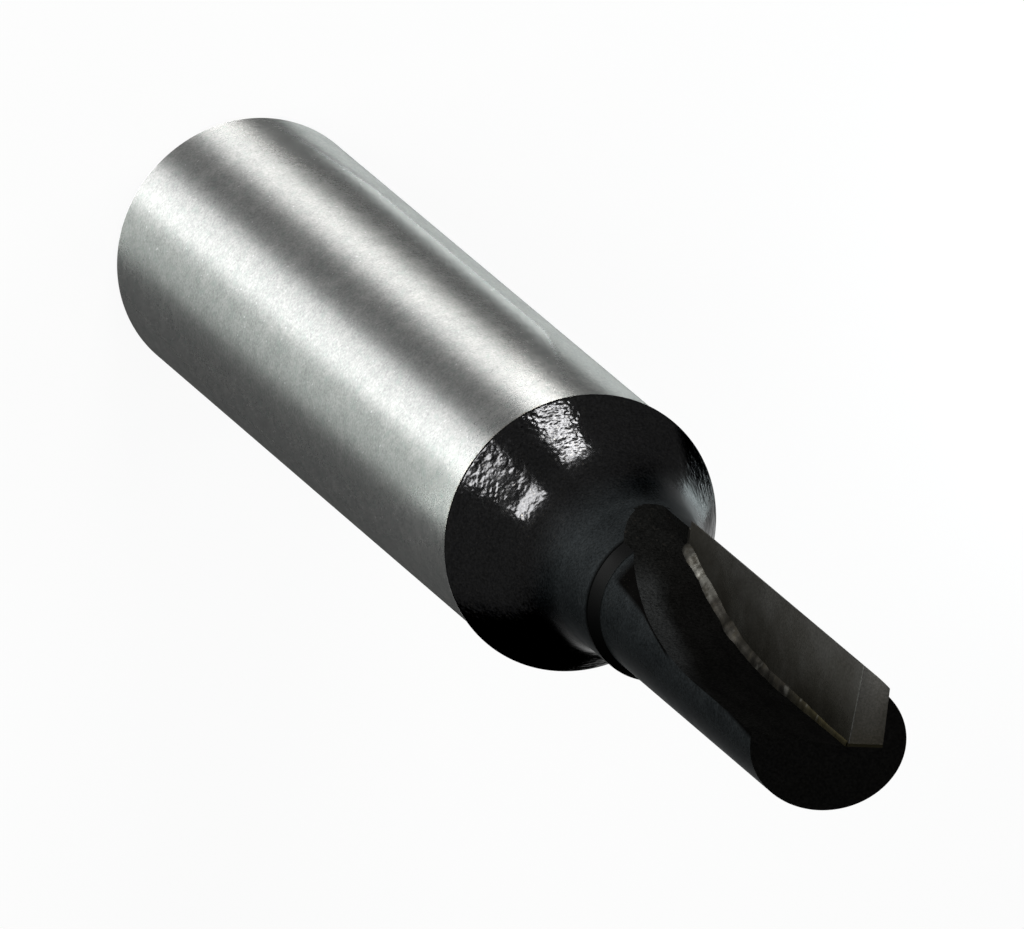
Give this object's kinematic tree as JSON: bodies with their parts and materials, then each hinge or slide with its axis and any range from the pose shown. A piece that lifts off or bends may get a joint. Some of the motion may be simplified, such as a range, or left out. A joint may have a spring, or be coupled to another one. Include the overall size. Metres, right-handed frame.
{
  "type": "router bit",
  "caption": "Single-flute straight router bit: ground shank, coned black shoulder, slim cutter body with a long gullet and a brazed carbide plate.",
  "frame": {"origin": "centre of the shank's back face, on the tool axis", "axes": "+Z along the tool axis to the cutting end, +X across the carbide plate to its cutting edge, +Y the way the rake face looks"},
  "size_m": [0.013, 0.013, 0.0765],
  "materials": {
    "blackened_steel": "satin black from the shoulder to the cutting end, bare satin-ground steel on the shank",
    "carbide": "fine-ground dark grey carbide",
    "braze_filler": "dull silvery brass, slightly uneven"
  },
  "bodies": {
    "root": {"cutter_body": "blackened_steel", "carbide_plate": "carbide", "braze": "braze_filler"}
  },
  "joints": []
}
